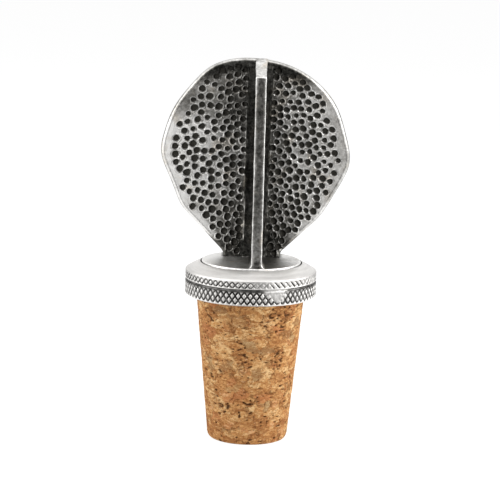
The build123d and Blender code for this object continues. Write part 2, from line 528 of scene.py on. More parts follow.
def rib_section():
    """Right half of the rib's section: (x, distance back, share of the way to the plaque)."""
    half = RIB_T / 2
    section = [(0.4, 0.0, 0)]
    for a in rounding():
        section.append((half - RIB_EDGE + RIB_EDGE * math.sin(a), RIB_EDGE * (1 - math.cos(a)), 0))
    return section + [(half, RIB_EDGE, i / RIB_SIDE_POINTS) for i in range(1, RIB_SIDE_POINTS + 1)]


def rib_flare(z):
    """How far the rib's sides run out at the foot, as a hollow curve into the disc."""
    left = np.clip((z - DISC_TOP) / RIB_FLARE, 0, 1)
    return RIB_FLARE * (1 - np.sqrt(1 - (1 - left) ** 2))


def rib_levels():
    """Rows of the rib's loft: share of the height, and turn round the top's edge."""
    shares = [*np.linspace(0, 0.04, RIB_FOOT_ROWS), *np.linspace(0.05, 1, RIB_ROWS)]
    return [(share, 0.0) for share in shares[:-1]] + [(1.0, a) for a in rounding()]


def rib_row(section, level, turn):
    """One row of the rib's loft, whose top slopes up from the front to the rim."""
    foot_z = DISC_TOP - DISC_EDGE
    rim_y = dish_point(np.zeros(1), np.array([RIB_REAR_Z]))[0][1]
    slope = (RIB_REAR_Z - RIB_TOP_Z) / (rim_y - RIB_FRONT_Y)
    shrink = RIB_TOP_ROUND * (1 - math.cos(turn))
    drop = RIB_TOP_ROUND * (1 - math.sin(turn)) * level
    rear_z = foot_z + (RIB_REAR_Z - foot_z) * level
    rear_r = DISH_R + PLAQUE_T * RIB_REAR_DEPTH
    rear_y = math.sqrt(rear_r**2 - (rear_z - DISH_Z) ** 2) + DISH_CENTRE[1]
    points = []
    for x, y, share in section:
        front_y = RIB_FRONT_Y + y + shrink
        place_y = front_y + share * (rear_y - front_y)
        z = foot_z + (RIB_TOP_Z + slope * (place_y - RIB_FRONT_Y) - foot_z) * level - drop
        points.append((RIB_X + x * (1 - shrink / (RIB_T / 2)), place_y, z))
    return points


def as_cast(points):
    """Flares the rib's foot, makes its faces slightly uneven, and keeps its foot on the disc."""
    sign = np.sign(points[:, 0] - RIB_X)
    spread = rib_flare(points[:, 2]) + 0.12 * smoothstep(RIB_REAR_Z - 4, RIB_REAR_Z, points[:, 2])
    spread = spread * smoothstep(0.3, 0.8, np.abs(points[:, 0] - RIB_X))
    wave = noise_at(points * np.array([1.0, 0.3, 1.0]), 1.6, 21)
    points[:, 0] += sign * (spread + RIB_UNEVENNESS * wave)
    points[:, 1] += 0.10 + RIB_UNEVENNESS * noise_at(points, 1.9, 22)
    reach = np.hypot(points[:, 0], points[:, 1])
    too_far = (reach > RIB_REACH) * (points[:, 2] < DISC_TOP + RIB_FLARE)
    pull = smoothstep(DISC_TOP + RIB_FLARE, DISC_TOP + 0.2, points[:, 2]) * too_far
    points[:, 1] *= 1 - pull * (1 - RIB_REACH / np.maximum(reach, 1))
    return points


def rib_mesh():
    """The gusset rib as a loft, closed by one face below and by quads across its top."""
    half = rib_section()
    section = half + [(-x, y, share) for x, y, share in reversed(half)]
    count = len(section)
    points = []
    for level, turn in rib_levels():
        points += rib_row(section, level, turn)
    last = len(points) - count
    faces = [tuple(range(count))] + tube_faces(len(points) // count, count)
    for k in range(count // 2 - 1):
        faces.append((last + k, last + k + 1, last + count - 2 - k, last + count - 1 - k))
    return mesh_piece("rib", as_cast(np.array(points)), faces)


def disc_mesh():
    """The base disc with an eased top edge, and the spigot under it."""
    profile = [(SPIGOT_R, HEAD_LOW[2]), (SPIGOT_R, DISC_FLOOR), (DISC_R, DISC_FLOOR)]
    for a in rounding():
        r = DISC_R - DISC_EDGE + DISC_EDGE * math.cos(a)
        profile.append((r, DISC_TOP - DISC_EDGE + DISC_EDGE * math.sin(a)))
    profile += [(r, DISC_TOP) for r in np.arange(9.75, 0.4, -0.5)]
    return turned_solid("disc", profile, DISC_COLUMNS)


def neck_back_mesh():
    """The thickening down the back of the neck, as a rounded swelling."""
    foot_z = DISC_TOP - DISC_EDGE
    buried = PLAQUE_T * 0.8
    fullest = NECK_BACK_Y - DISH_FLOOR_Y - buried
    points = []
    for i in range(NECK_ROWS + 1):
        rise = i / NECK_ROWS
        z = foot_z + (NECK_BACK_H + DISC_EDGE) * rise
        swell = buried + fullest * (1 - smoothstep(0.2, 0.95, rise))
        half_w = NECK_HALF_W - 0.1 - 0.5 * rise
        start = y_of_face(0.0, z) + PLAQUE_T * 0.55
        for k in range(NECK_COLUMNS + 1):
            a = math.pi * k / NECK_COLUMNS
            across = math.copysign(abs(math.cos(a)) ** NECK_ROUNDNESS, math.cos(a))
            back = (DISH_FLOOR_Y + swell - start) * math.sin(a) ** NECK_ROUNDNESS
            points.append((half_w * across, start + back, z))
    width = NECK_COLUMNS + 1
    faces = [tuple(range(width)), tuple(range(NECK_ROWS * width, (NECK_ROWS + 1) * width))]
    return mesh_piece("neck_back", points, faces + tube_faces(NECK_ROWS + 1, width))


def face_patina_and_painted_light(x, z):
    """How bright the face is: darker by the rib and at the neck, patina with painted shade; darker
    at the top, painted shade; lighter on the wings, painted light.
    """
    left = 0.54 + 0.46 * smoothstep(-3.0, -11.0, x)
    slant = z + 0.25 * (x + 10)
    left = left * (1 - 0.46 * smoothstep(PLAQUE_Z + 4.5, PLAQUE_Z + 10, slant))
    left = left * (1 - 0.30 * smoothstep(PLAQUE_Z - 8, PLAQUE_Z - 14, z))
    right = 0.42 + 0.36 * smoothstep(3.5, 9.0, x)
    right = right * (1 - 0.25 * smoothstep(PLAQUE_Z + 12, PLAQUE_Z + 17, z))
    right = right * (1 - 0.30 * smoothstep(PLAQUE_Z - 9, PLAQUE_Z - 15, z))
    tone = np.where(x < RIB_X, left, right)
    return tone * (1 - 0.72 * smoothstep(DISC_TOP + 9, DISC_TOP + 2, z))


def face_wear_and_painted_light(x, z, edge, lips):
    """Brightness of the plaque's front, with painted light and shade: pit lips lighter, polish with
    a painted highlight; low margin lighter, painted highlight; high margin and tip darker, painted
    shade.
    """
    face = face_patina_and_painted_light(x, z)
    face = face + lips * (0.50 - 0.22 * face) * (1 - smoothstep(PLAQUE_Z + 16.5, PLAQUE_Z + 18, z))
    dark_from = np.where(x < 0, PLAQUE_Z + 4.0, PLAQUE_Z + 12.5)
    dark = smoothstep(dark_from, dark_from + 3.5, z) * smoothstep(3.4, 2.2, edge)
    face = face * (1 - 0.12 * dark)
    margin = smoothstep(2.3, 1.3, edge) * (1 - smoothstep(dark_from - 2, dark_from + 1, z))
    above_foot = smoothstep(DISC_TOP + 2.6, DISC_TOP + 4.6, z)
    low = smoothstep(PLAQUE_Z - 9, PLAQUE_Z - 13, z) * above_foot
    # Left margin lighter and right margin a little darker: painted light and shade.
    margin_painted_light = np.where(x < 0, 0.14, -0.04)
    face = face + (margin_painted_light + 0.38 * low) * margin * above_foot
    tip = smoothstep(PLAQUE_Z + 14, PLAQUE_Z + 17.5, z) * smoothstep(3.0, 2.0, edge)
    return face * (1 - 0.7 * tip)


def rim_and_back_tone_and_painted_shade(x, z, depth):
    """Brightness of the rim and the back: the back darker than the rim; painted shade at the rim's
    ends and at the neck.
    """
    tone = 0.86 - 0.30 * smoothstep(0.6, 1.6, depth)
    rim_side = smoothstep(0.30, 0.75, depth) * smoothstep(1.6, 1.1, depth)
    tone = tone - 0.40 * rim_side * smoothstep(13.0, 17.0, np.abs(x))
    return tone * (1 - 0.82 * smoothstep(DISC_TOP + 6, DISC_TOP + 3, z))


def plaque_tone(p):
    """Brightness of the plaque's skin, and how deep in a pit each point is."""
    x, _, z = p.T
    depth = np.linalg.norm(p - DISH_CENTRE, axis=1) - DISH_R
    edge = edge_distance(x, z)
    bowls, lips = pit_field(x, z)
    on_face = smoothstep(1.1, 0.7, np.abs(depth)) * smoothstep(0.15, 0.45, edge)
    face = np.clip(face_wear_and_painted_light(x, z, edge, lips), 0, 1)
    tone = rim_and_back_tone_and_painted_shade(x, z, depth) * (1 - on_face) + face * on_face
    # Dark smooth bar along the rib's root: patina with painted shade from the rib.
    bar = (bar_share(x, z) > 0.5) * (on_face > 0.5)
    tone = np.where(bar, 0.10 + 0.08 * smoothstep(-2.6, -1.2, -np.abs(x - RIB_X)), tone)
    # Thin light line along the bar's left edge: a painted highlight.
    bar_x = x - BAR_LEAN * (z - PLAQUE_Z)
    line = np.exp(-(((bar_x - BAR_LEFT_X - 0.12) / 0.15) ** 2)) * on_face
    line = line * smoothstep(PLAQUE_Z - 9, PLAQUE_Z - 11, z)
    line = line * smoothstep(DISC_TOP + 2.5, DISC_TOP + 4, z)
    return np.maximum(tone, 0.72 * line), bowls * smoothstep(0.16, 0.32, depth) * on_face


def rib_tone_and_painted_light(p):
    """Brightness of the rib: grey front, patina with a painted dark reflection; light edges, polish
    with a painted highlight; painted highlight on the top; painted shade towards its root.
    """
    x, y, z = p.T
    from_side = np.abs(x - RIB_X) - RIB_T / 2 - rib_flare(z)
    behind = (y - RIB_FRONT_Y) / (y_of_face(x, z) - RIB_FRONT_Y)
    side = 0.08 + 0.52 * smoothstep(0.6, 0.03, behind)
    side = side + 0.15 * smoothstep(DISC_TOP + 6, DISC_TOP + 1, z)
    front = smoothstep(-0.12, -0.36, from_side) * (y < RIB_FRONT_Y + 0.5)
    grey = 0.36 + 0.17 * smoothstep(PLAQUE_Z - 2, DISC_TOP + 3, z)
    blotches = smoothstep(-0.25, 0.25, noise_at(p, 0.45, 9))
    grey = grey - (0.10 + 0.28 * blotches) * smoothstep(DISC_TOP + 2.4, DISC_TOP + 1.0, z)
    edge_line = smoothstep(0.60, 0.34, y - RIB_FRONT_Y)
    tone = side * (1 - edge_line) + 0.80 * edge_line
    tone = tone * (1 - front) + grey * front
    top_line = RIB_TOP_Z + (y - RIB_FRONT_Y) * (RIB_REAR_Z - RIB_TOP_Z) / 9.0
    return np.where(z > top_line - RIB_TOP_ROUND * 0.8, 0.84, tone)


def disc_tone_and_painted_light(p):
    """Brightness of the disc: painted highlight at its ends and rim, painted shade by the neck and
    the rib and below its top face.
    """
    x, y, z = p.T
    from_rib = np.maximum(np.abs(x - RIB_X) - RIB_T / 2 - RIB_FLARE, 0)
    behind = smoothstep(-6.0, 3.0, y) * smoothstep(8.0, 5.0, np.abs(x))
    tone = 0.60 + 0.40 * smoothstep(0.0, 4.0, from_rib) - 0.10 * behind
    # Left of the rib lighter than right: painted light from one side.
    tone = tone + 0.12 - 0.26 * smoothstep(RIB_X - 1, RIB_X + 2, x)
    under_neck = (np.abs(x) < NECK_HALF_W + 0.3) * (y > y_of_face(x, z) - 0.2)
    tone = np.where(under_neck, 0.12, tone)
    rim_line = smoothstep(DISC_R - 0.45, DISC_R - 0.22, np.hypot(x, y))
    return np.where(z < DISC_TOP - DISC_EDGE - 0.05, 0.02, np.maximum(tone, rim_line))


def head_tone(p):
    """Brightness of the head at each point, from 0, black, to 1: patina with painted light and
    shade; and the pits.
    """
    x, y, z = p.T
    tone, pit = plaque_tone(p)
    side = np.abs(x - RIB_X) - RIB_T / 2 - rib_flare(z)
    in_front = y < y_of_face(x, z) - ROOT_BAR_H - 0.05
    rib = (side < 0.14) * in_front * (z > DISC_TOP + 0.02)
    tone = np.where(rib, rib_tone_and_painted_light(p), tone)
    disc = (z < DISC_TOP + 0.02) * (np.hypot(x, y) < DISC_R + 0.05)
    tone = np.where(disc, disc_tone_and_painted_light(p), tone)
    return np.clip(tone, 0, 1), pit * (1 - rib) * (1 - disc)


def make_head():
    """The whole pewter head, with the brightness of its patina and its painted light and shade
    stored on it.
    """
    head = union(plaque_mesh(), [rib_mesh(), disc_mesh(), neck_back_mesh()])
    shade(head, 38)
    weld(head)
    points = points_of(head)
    points[:, 2] = np.minimum(points[:, 2], HEAD_HIGH[2])
    head.data.vertices.foreach_set("co", (points * MM).ravel())
    tone, pit = head_tone(points)
    set_values(head, "tone", tone)
    set_values(head, "pit", pit)
    return head


# ---- the collar ----

KNURL_COUNT = 68
KNURL_COLUMNS = 12
KNURL_DEPTH = 0.3
KNURL_LEAN = 1.8  # height over which a groove crosses one pitch
UPPER_KNURL_LEAN = 1.35
GROOVE_HALF_W = 0.29  # as a share of the pitch
WORN_ANGLE = math.radians(25.0)

LOWER_KNURL_Z = COLLAR_LOW[2] + LIP_H
BEAD_Z = LOWER_KNURL_Z + LOWER_KNURL_H
UPPER_KNURL_Z = BEAD_Z + BEAD_H
SHOULDER_Z = UPPER_KNURL_Z + UPPER_KNURL_H


def knurl(angle, z):
    """Share of full groove depth of the crossed knurl at these places, from 0 to 1."""
    turns = angle / FULL_TURN * KNURL_COUNT
    upper = z > UPPER_KNURL_Z
    climb = (z - LOWER_KNURL_Z) / np.where(upper, UPPER_KNURL_LEAN, KNURL_LEAN)
    grooves = []
    for phase in (turns + climb, turns - climb):
        off = np.abs((phase % 1.0) - 0.5)
        grooves.append(1 - smoothstep(0.02, GROOVE_HALF_W, off))
    uneven = 0.80 + 0.20 * np.sin(11.0 * angle + 1.0) * np.sin(29.0 * angle)
    one_way = smoothstep(0.20, 0.35, angle) * (angle < 0.95)
    other_way = smoothstep(0.85, 1.05, angle) * (angle < 2.2)
    grooves[0] = grooves[0] * np.where(upper, uneven * (1 - 0.75 * other_way), 1.0)
    grooves[1] = grooves[1] * np.where(upper, (1.6 - 0.8 * uneven) * (1 - 0.75 * one_way), 1.0)
    return np.clip(np.maximum(*grooves), 0, 1)


def worn(angle, z):
    """How far the knurl is worn or filled here: a smeared patch right of the front."""
    rise = smoothstep(LOWER_KNURL_Z + 0.4, BEAD_Z + 0.1, z)
    ragged = 0.035 * np.sin(9.0 * z + 3.0) + 0.025 * np.sin(23.0 * z + 40.0 * angle)
    middle = WORN_ANGLE - 0.05 * rise + ragged * 0.5
    off = (angle - middle + math.pi) % FULL_TURN - math.pi
    width = 0.055 + 0.135 * rise
    patch = np.exp(-((off / width) ** 4))
    patch = patch * smoothstep(LOWER_KNURL_Z + 0.2, LOWER_KNURL_Z + 0.9, z + 4 * ragged)
    patch = patch * (1 - smoothstep(UPPER_KNURL_Z - 0.1, UPPER_KNURL_Z + 0.2, z))
    front = (angle - 0.17 + math.pi) % FULL_TURN - math.pi
    soft = 0.40 * np.exp(-((front / 0.15) ** 4)) * (z > UPPER_KNURL_Z)
    return np.clip(0.92 * patch + soft, 0, 1)


def band(z):
    """Depth of the knurl by height: full in the lower band, fading upwards in the upper one."""
    lower = smoothstep(LOWER_KNURL_Z, LOWER_KNURL_Z + 0.12, z)
    lower = lower * (1 - smoothstep(BEAD_Z - 0.12, BEAD_Z, z))
    upper = smoothstep(UPPER_KNURL_Z + 0.12, UPPER_KNURL_Z + 0.30, z)
    upper = upper * (1 - 0.20 * smoothstep(UPPER_KNURL_Z + 0.3, UPPER_KNURL_Z + 1.1, z))
    upper = upper * (1 - smoothstep(SHOULDER_Z - 0.42, SHOULDER_Z - 0.12, z))
    return np.maximum(lower, 0.9 * upper)


def collar_profile():
    """The collar's closed (r, z) outline: down the cup, out, up the knurl and in to the hole."""
    cork_top, low, high = CORK_HIGH[2], COLLAR_LOW[2], COLLAR_HIGH[2]
    profile = [(CUP_R, cork_top), (CUP_R, low + 0.1), (CUP_R + 0.1, low), (COLLAR_LIP_R - 0.15, low)]
    profile += [(COLLAR_LIP_R, low + 0.12), (COLLAR_LIP_R, LOWER_KNURL_Z - 0.08)]
    profile += [(COLLAR_R, z) for z in np.linspace(LOWER_KNURL_Z, BEAD_Z, 20)]
    profile += [(BEAD_R + 0.06, BEAD_Z + 0.10), (BEAD_R, BEAD_Z + 0.2)]
    profile += [(BEAD_R, UPPER_KNURL_Z - 0.16), (BEAD_R + 0.06, UPPER_KNURL_Z - 0.08)]
    profile += [(COLLAR_R, z) for z in np.linspace(UPPER_KNURL_Z, SHOULDER_Z - 0.12, 13)]
    profile += [(COLLAR_R - 0.05, SHOULDER_Z), (COLLAR_R - 0.18, SHOULDER_Z + 0.12)]
    for i in range(1, 9):
        w = i / 8
        bulge = 0.035 * math.sin(math.pi * w)
        r = (COLLAR_R - 0.18) * (1 - w) + (RECESS_R + 0.06) * w + bulge
        z = (SHOULDER_Z + 0.12) * (1 - w) + high * w + bulge
        profile.append((r, min(z, high)))
    profile += [(RECESS_R, high - 0.06), (RECESS_R, DISC_FLOOR)]
    return profile + [(HOLE_R, DISC_FLOOR), (HOLE_R, cork_top)]


def knurl_cut(angle, r, z):
    """Change of the collar's radius: grooves cut in, and a worn patch that fills the bead."""
    wear = worn(angle, z)
    outer = (r > BEAD_R - 0.01) * (z > COLLAR_LOW[2] + 0.2)
    fill = BEAD_DEPTH * 0.8 * wear * (z > BEAD_Z) * (z < UPPER_KNURL_Z)
    return (fill - KNURL_DEPTH * knurl(angle, z) * band(z) * (1 - wear)) * outer


def groove_tone(angle, r, z, wear, skin):
    """How black the collar is, from 0 to 1: patina by the depth of its grooves, grey in the bead,
    with painted shade in the bead, below it, towards the sides and in the recess.
    """
    groove = np.clip((COLLAR_R - r) / KNURL_DEPTH, 0, 1) * skin
    # Grey in the bead: patina with painted shade.
    in_bead = (z > BEAD_Z + 0.02) * (z < UPPER_KNURL_Z - 0.02)
    groove = np.where(in_bead, np.clip(groove, 0.44, 0.60), groove) * skin * (1 - 0.85 * wear)
    # Darker just below the bead: painted shade.
    painted_shade_below_bead = smoothstep(BEAD_Z - 0.5, BEAD_Z - 0.05, z) * (z < BEAD_Z + 0.02) * skin
    groove = np.maximum(groove, 0.40 * painted_shade_below_bead * (1 - wear))
    groove = np.maximum(groove, 0.17 * (z > LOWER_KNURL_Z) * (z < BEAD_Z) * skin)
    in_upper = (z > UPPER_KNURL_Z) * (z < SHOULDER_Z - 0.1) * skin
    groove = np.where(in_upper, np.maximum(1.35 * groove, 0.15), groove)
    groove = groove * (z > LOWER_KNURL_Z - 0.05)
    # Grooves darker towards the collar's sides: painted shade.
    groove = groove ** (1 - 0.35 * smoothstep(0.8, 1.4, np.abs(angle)))
    # Black in the recess under the disc and in the hole: painted shade.
    return np.maximum(groove, (r < RECESS_R + 0.02) * (z > DISC_FLOOR - 0.1))


def make_collar():
    """The collar, with its knurl cut in the mesh and its patina and painted shade stored on it."""
    collar = lathe("knurled_collar", collar_profile(), KNURL_COUNT * KNURL_COLUMNS, knurl_cut)
    shade(collar, 40)
    x, y, z = points_of(collar).T
    angle, r = np.arctan2(x, -y), np.hypot(x, y)
    wear = worn(angle, z)
    skin = (r > BEAD_R - 0.05) * (z < SHOULDER_Z)
    set_values(collar, "groove", groove_tone(angle, r, z, wear, skin))
    set_values(collar, "wear", wear * skin)
    return collar


# ---- the cork ----

CORK_COLUMNS = 360
CORK_ROWS = 160
GRANULE_SIZE = 2.6
GRANULE_FLATNESS = 1.5
GRANULE_SEED = 7


def granule_seeds():
    """Centres of the granules in flattened space, each with a shade and a tint from 0 to 1."""
    rng = np.random.default_rng(GRANULE_SEED)
    seeds = []
    for x in np.arange(-13, 14, GRANULE_SIZE):
        for y in np.arange(-13, 14, GRANULE_SIZE):
            for z in np.arange(-2, 34 * GRANULE_FLATNESS, GRANULE_SIZE):
                shift = rng.uniform(-0.6, 0.6, 3) * GRANULE_SIZE
                shade_and_tint = rng.random(2)
                if 5.0 < math.hypot(x + shift[0], y + shift[1]) < 14.5 or z < 4:
                    seeds.append([x + shift[0], y + shift[1], z + shift[2], *shade_and_tint])
    return np.array(seeds)


def nearest_granules(points):
    """Distance to the two nearest granules, and the nearest one's shade and tint."""
    first = np.full(len(points), 1e9)
    second = np.full(len(points), 1e9)
    shade_of = np.zeros(len(points))
    tint_of = np.zeros(len(points))
    for *seed, shade_here, tint_here in granule_seeds():
        d = np.linalg.norm(points - seed, axis=1)
        closer = d < first
        second = np.where(closer, first, np.minimum(second, d))
        shade_of = np.where(closer, shade_here, shade_of)
        tint_of = np.where(closer, tint_here, tint_of)
        first = np.where(closer, d, first)
    return first, second, shade_of, tint_of


def cork_profile():
    """The cork's (r, z) outline from the middle of its foot to the middle of its top."""
    high, seat = CORK_HIGH[2], COLLAR_LOW[2]
    profile = [(CORK_FOOT_R * w, 0.0) for w in (0.02, 0.15, 0.3, 0.45, 0.6, 0.75)]
    for i in range(7):
        a = QUARTER_TURN * i / 6
        r = CORK_FOOT_R - CORK_ROUND + CORK_ROUND * math.sin(a)
        profile.append((r, CORK_ROUND * (1 - math.cos(a))))
    for z in np.linspace(CORK_ROUND, seat, CORK_ROWS)[1:]:
        profile.append((CORK_FOOT_R + (CORK_TOP_R - CORK_FOOT_R) * z / seat, z))
    return profile + [(CORK_TOP_R, high), (CORK_TOP_R * 0.5, high), (0.1, high)]


def make_cork():
    """The cork: a taper of pressed granules with seams, voids and crumbled spots."""
    cork = turned_solid("cork_plug", cork_profile(), CORK_COLUMNS)
    p = points_of(cork)
    broad = np.stack([noise_at(p, 1.7, seed) for seed in (11, 12, 13)], -1)
    rough = np.stack([noise_at(p, 0.55, seed) for seed in (21, 22, 23)], -1)
    stretch = np.array([1.0, 1.0, GRANULE_FLATNESS])
    first, second, shade_of, tint_of = nearest_granules((p + 1.1 * broad + 0.5 * rough) * stretch)
    seam = 1 - smoothstep(0.0, 0.30, second - first)
    crack = seam * smoothstep(-0.12, 0.25, noise_at(p, 2.2, 14))
    crumbled = smoothstep(-0.05, 0.35, noise_at(p, 5.0, 17))
    flat = p * np.array([1, 1, 2.0])
    voids = smoothstep(0.30, 0.46, noise_at(flat, 0.85, 15) * (0.62 + 0.45 * crumbled))
    side = (p[:, 2] > 0.25) * (p[:, 2] < COLLAR_LOW[2] - 0.35)
    sink = 0.06 * seam + 0.16 * crack + 0.34 * voids + 0.05 * np.abs(noise_at(p, 0.5, 16))
    sink = (sink + 0.05 * np.abs(noise_at(flat, 1.1, 18)) + 0.06 * (1 - shade_of)) * side
    r = np.maximum(np.hypot(p[:, 0], p[:, 1]), 1e-6)
    p[:, 0] -= p[:, 0] / r * sink
    p[:, 1] -= p[:, 1] / r * sink
    cork.data.vertices.foreach_set("co", (p * MM).ravel())
    cork.data.update()
    shade(cork, 60)
    set_values(cork, "granule", shade_of)
    set_values(cork, "tint", tint_of)
    set_values(cork, "seam", np.clip(0.25 * seam + crack, 0, 1))
    set_values(cork, "voids", voids)
    return cork


# ---- materials ----


class Nodes:
    """Adds and links the nodes of one material."""

    def __init__(self, name):
        self.material = bpy.data.materials.new(name)
        self.material.use_nodes = True
        self.tree = self.material.node_tree
        self.shader = self.tree.nodes["Principled BSDF"]
        self.object_place = self.tree.nodes.new("ShaderNodeTexCoord").outputs["Object"]

    def add(self, kind, inputs=(), **settings):
        node = self.tree.nodes.new(kind)
        for key, value in settings.items():
            setattr(node, key, value)
        for key, value in dict(inputs).items():
            self.feed(node.inputs[key], value)
        return node

    def feed(self, socket, value):
        if isinstance(value, bpy.types.NodeSocket):
            self.tree.links.new(value, socket)
        else:
            socket.default_value = value

    def set(self, key, value):
        self.feed(self.shader.inputs[key], value)

    def value(self, name):
        return self.add("ShaderNodeAttribute", attribute_name=name).outputs["Fac"]

    def noise(self, scale, detail=4.0, rough=0.55, vector=None, distortion=0.0):
        inputs = {"Scale": scale, "Detail": detail, "Roughness": rough, "Distortion": distortion}
        node = self.add("ShaderNodeTexNoise", inputs)
        self.feed(node.inputs["Vector"], self.object_place if vector is None else vector)
        return node.outputs["Fac"]

    def stretched(self, scale):
        node = self.add("ShaderNodeMapping", {"Vector": self.object_place, "Scale": scale})
        return node.outputs["Vector"]

    def ramp(self, value, stops):
        node = self.add("ShaderNodeValToRGB", {"Fac": value})
        ramp = node.color_ramp
        while len(ramp.elements) < len(stops):
            ramp.elements.new(0.5)
        for element, (place, colour) in zip(ramp.elements, stops):
            element.position = place
            element.color = (*colour, 1.0)
        return node.outputs["Color"]

    def span(self, value, low, high, to_low=0.0, to_high=1.0):
        inputs = {"Value": value, "From Min": low, "From Max": high}
        inputs |= {"To Min": to_low, "To Max": to_high}
        return self.add("ShaderNodeMapRange", inputs).outputs["Result"]

    def maths(self, operation, a, b, clamp=True):
        node = self.add("ShaderNodeMath", operation=operation, use_clamp=clamp)
        self.feed(node.inputs[0], a)
        self.feed(node.inputs[1], b)
        return node.outputs["Value"]

    def mix(self, share, a, b, blend="MIX"):
        node = self.add("ShaderNodeMix", data_type="RGBA", blend_type=blend)
        self.feed(node.inputs[0], share)
        self.feed(node.inputs[6], a)
        self.feed(node.inputs[7], b)
        return node.outputs[2]

    def bump(self, height, strength, distance, normal=None):
        inputs = {"Height": height, "Strength": strength, "Distance": distance}
        node = self.add("ShaderNodeBump", inputs)
        if normal is not None:
            self.feed(node.inputs["Normal"], normal)
        return node.outputs["Normal"]


DEEP_PATINA = (0.032, 0.031, 0.028)
PIT_PATINA = (0.058, 0.055, 0.048, 1)
WORN_GREY = (0.30, 0.295, 0.285, 1)
PEWTER_TONES = [
    (0.0, (0.018, 0.018, 0.016)),
    (0.22, (0.080, 0.078, 0.071)),
    (0.45, (0.225, 0.218, 0.203)),
    (0.70, (0.500, 0.490, 0.470)),
    (0.88, (0.715, 0.705, 0.685)),
    (1.0, (0.870, 0.860, 0.840)),
]


def pewter_head_material():
    """Cast pewter: black patina in the pits; grey near the rib, patina with painted shade; light
    lands and edges, polish with painted highlights.
    """
    m = Nodes("cast_pewter")
    m.set("Metallic", 1.0)
    mottle = m.noise(1500.0, 5.0, 0.7)
    cloud = m.noise(260.0, 4.0, 0.6)
    tone = m.value("tone")
    tone = m.maths("ADD", tone, m.span(mottle, 0.3, 0.7, -0.19, 0.19))
    tone = m.maths("ADD", tone, m.span(cloud, 0.3, 0.7, -0.13, 0.13))
    land = m.ramp(tone, PEWTER_TONES)
    stain = m.noise(210.0, 3.0, 0.55, None, 0.8)
    land = m.mix(m.span(stain, 0.54, 0.70, 0.0, 0.55), land, (1.0, 0.89, 0.74, 1), "MULTIPLY")
    pit = m.span(m.value("pit"), 0.12, 0.6)
    m.set("Base Color", m.mix(pit, land, PIT_PATINA))
    rough = m.span(mottle, 0.3, 0.7, 0.30, 0.44)
    m.set("Roughness", m.maths("ADD", rough, m.span(pit, 0.0, 1.0, 0.0, 0.25)))
    fine = m.noise(1700.0, 4.0, 0.65)
    coarse = m.noise(560.0, 3.0, 0.55)
    normal = m.bump(coarse, 0.25, 0.00012)
    m.set("Normal", m.bump(fine, 0.22, 0.00005, normal))
    return m.material


def collar_material():
    """Turned and brushed metal, bright on the knurl's crests and black in its grooves."""
    m = Nodes("turned_metal")
    m.set("Metallic", 1.0)
    streaks = m.noise(60.0, 6.0, 0.7, m.stretched((1.0, 1.0, 24.0)))
    mottle = m.noise(700.0, 4.0, 0.6)
    base = m.mix(m.span(streaks, 0.35, 0.65), (0.61, 0.595, 0.575, 1), (0.79, 0.775, 0.755, 1))
    groove = m.span(m.value("groove"), 0.08, 0.62)
    groove = m.maths("MULTIPLY", groove, m.span(mottle, 0.25, 0.6, 0.7, 1.0))
    base = m.mix(groove, base, (*DEEP_PATINA, 1))
    wear = m.maths("MULTIPLY", m.value("wear"), m.span(mottle, 0.35, 0.65, 0.25, 0.85))
    m.set("Base Color", m.mix(wear, base, WORN_GREY))
    m.set("Roughness", m.span(streaks, 0.3, 0.7, 0.36, 0.52))
    normal = m.bump(streaks, 0.3, 0.00006)
    m.set("Normal", m.bump(mottle, 0.15, 0.00006, normal))
    return m.material


CORK_TONES = [
    (0.00, (0.235, 0.088, 0.027)),
    (0.28, (0.385, 0.164, 0.052)),
    (0.50, (0.515, 0.246, 0.084)),
    (0.72, (0.615, 0.335, 0.128)),
    (1.00, (0.760, 0.510, 0.250)),
]


def cork_material():
    """Pressed cork granules in tans and browns, with flecks, broken cracks, seams and voids."""
    m = Nodes("cork_granules")
    grain = m.noise(2600.0, 5.0, 0.7)
    flecks = m.noise(1100.0, 5.0, 0.68, m.stretched((1.0, 1.0, 2.2)), 0.4)
    wave = m.noise(420.0, 4.0, 0.6, m.stretched((1.0, 1.0, 2.4)), 1.2)
    patch = m.noise(330.0, 2.0, 0.5)
    tone = m.span(m.value("granule"), 0.0, 1.0, 0.30, 0.80)
    tone = m.maths("ADD", tone, m.span(wave, 0.3, 0.7, -0.36, 0.36))
    tone = m.maths("ADD", tone, m.span(grain, 0.3, 0.7, -0.27, 0.27))
    colour = m.ramp(tone, CORK_TONES)
    tint = m.value("tint")
    colour = m.mix(m.span(tint, 0.88, 0.94, 0.0, 0.55), colour, (0.27, 0.165, 0.075, 1))
    colour = m.mix(m.span(tint, 0.18, 0.08, 0.0, 0.40), colour, (0.52, 0.19, 0.075, 1))
    colour = m.mix(m.span(flecks, 0.53, 0.64, 0.0, 0.85), colour, (0.25, 0.095, 0.030, 1))
    colour = m.mix(m.span(flecks, 0.42, 0.33, 0.0, 0.45), colour, (0.78, 0.55, 0.31, 1))
    line = m.maths("SUBTRACT", wave, 0.5, clamp=False)
    line = m.maths("SUBTRACT", 1.0, m.span(m.maths("ABSOLUTE", line, 0.0), 0.0, 0.024))
    line = m.maths("MULTIPLY", line, m.span(patch, 0.44, 0.54))
    colour = m.mix(m.maths("MULTIPLY", line, 0.9), colour, (0.17, 0.07, 0.022, 1))
    colour = m.mix(m.span(m.value("seam"), 0.2, 1.0, 0.0, 0.75), colour, (0.19, 0.078, 0.025, 1))
    colour = m.mix(m.span(m.value("voids"), 0.1, 0.8, 0.0, 0.9), colour, (0.085, 0.036, 0.014, 1))
    m.set("Base Color", colour)
    m.set("Roughness", 0.85)
    m.set("Specular IOR Level", 0.2)
    normal = m.bump(flecks, 0.6, 0.00022)
    m.set("Normal", m.bump(grain, 0.5, 0.00012, normal))
    return m.material


# ---- stage, lights, camera ----

